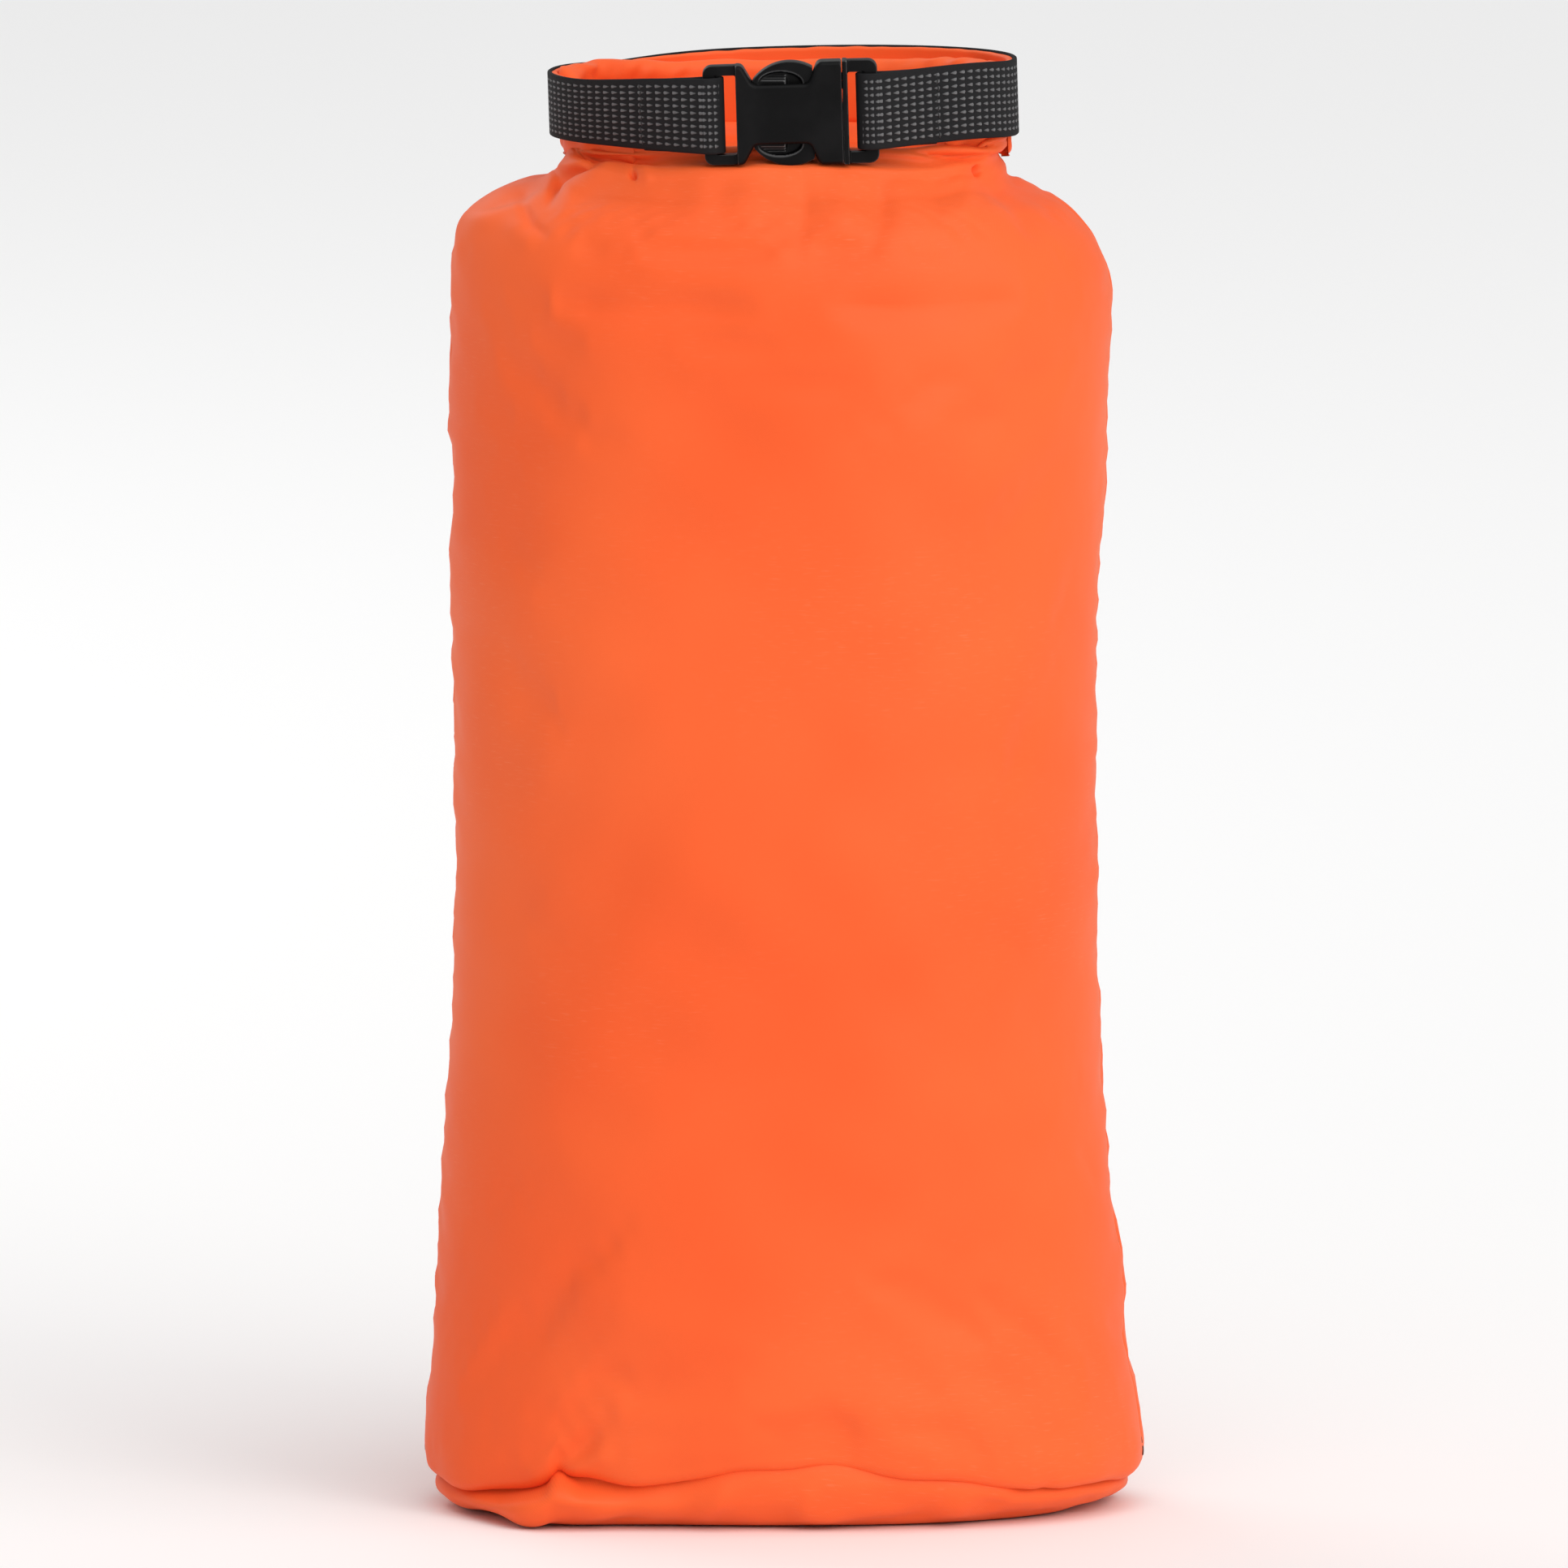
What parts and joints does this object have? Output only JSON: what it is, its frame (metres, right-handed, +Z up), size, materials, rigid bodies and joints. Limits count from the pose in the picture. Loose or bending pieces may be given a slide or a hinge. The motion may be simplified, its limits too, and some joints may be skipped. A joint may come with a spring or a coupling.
{
  "type": "dry bag",
  "caption": "Filled roll-top dry bag of coated orange fabric, its rolled mouth bent into a carry loop and closed by a side-release buckle on black webbing.",
  "frame": {"origin": "on the floor, under the middle of the bag", "axes": "+Z up, -Y the front with the buckle, +X to the right as seen from the front"},
  "size_m": [0.1912, 0.1272, 0.3853],
  "materials": {
    "coated_fabric": "satin",
    "seam_tape": "satin",
    "orange_thread": "matte",
    "black_thread": "matte",
    "webbing": "matte",
    "buckle_plastic": "satin"
  },
  "bodies": {
    "bag": {"front_panel": "coated_fabric", "back_panel": "coated_fabric", "base_panel": "coated_fabric", "gathered_neck": "coated_fabric", "left_seam_tape": "seam_tape", "right_seam_tape": "seam_tape", "base_seam_tape": "seam_tape", "left_seam_stitching": "orange_thread", "right_seam_stitching": "orange_thread", "base_seam_stitching": "orange_thread"},
    "closure": {"rolled_collar": "coated_fabric", "mouth_hem": "coated_fabric", "hem_stitching": "black_thread", "webbing_strap": "webbing", "left_bartack": "black_thread", "buckle_housing": "buckle_plastic", "right_hem_end": "coated_fabric", "right_collar_end": "coated_fabric"},
    "plug": {"right_strap_end": "webbing", "right_bartack": "black_thread", "plug_frame": "buckle_plastic"},
    "upper_prong": {"upper_prong": "buckle_plastic"},
    "lower_prong": {"lower_prong": "buckle_plastic"}
  },
  "joints": [
    {"name": "closure_tilt", "type": "hinge", "parent": "bag", "child": "closure", "pos_m": [0, 0, 0.35], "axis": [1, 0, 0], "range_deg": [-15, 15], "deforming": ["gathered_neck"]},
    {"name": "plug_release", "type": "slide", "parent": "closure", "child": "plug", "axis": [0.9996, 0, 0.0297], "range_m": [0, 0.02], "deforming": ["right_strap_end", "right_bartack", "right_hem_end", "right_collar_end", "upper_prong", "lower_prong"]},
    {"name": "upper_prong_squeeze", "type": "hinge", "parent": "plug", "child": "upper_prong", "pos_m": [0.01396, -0.036, 0.37942], "axis": [0, -1, 0], "range_deg": [0, 10], "stiffness_Nm_per_rad": 0.5},
    {"name": "lower_prong_squeeze", "type": "hinge", "parent": "plug", "child": "lower_prong", "pos_m": [0.01443, -0.036, 0.36342], "axis": [0, 1, 0], "range_deg": [0, 10], "stiffness_Nm_per_rad": 0.5}
  ]
}
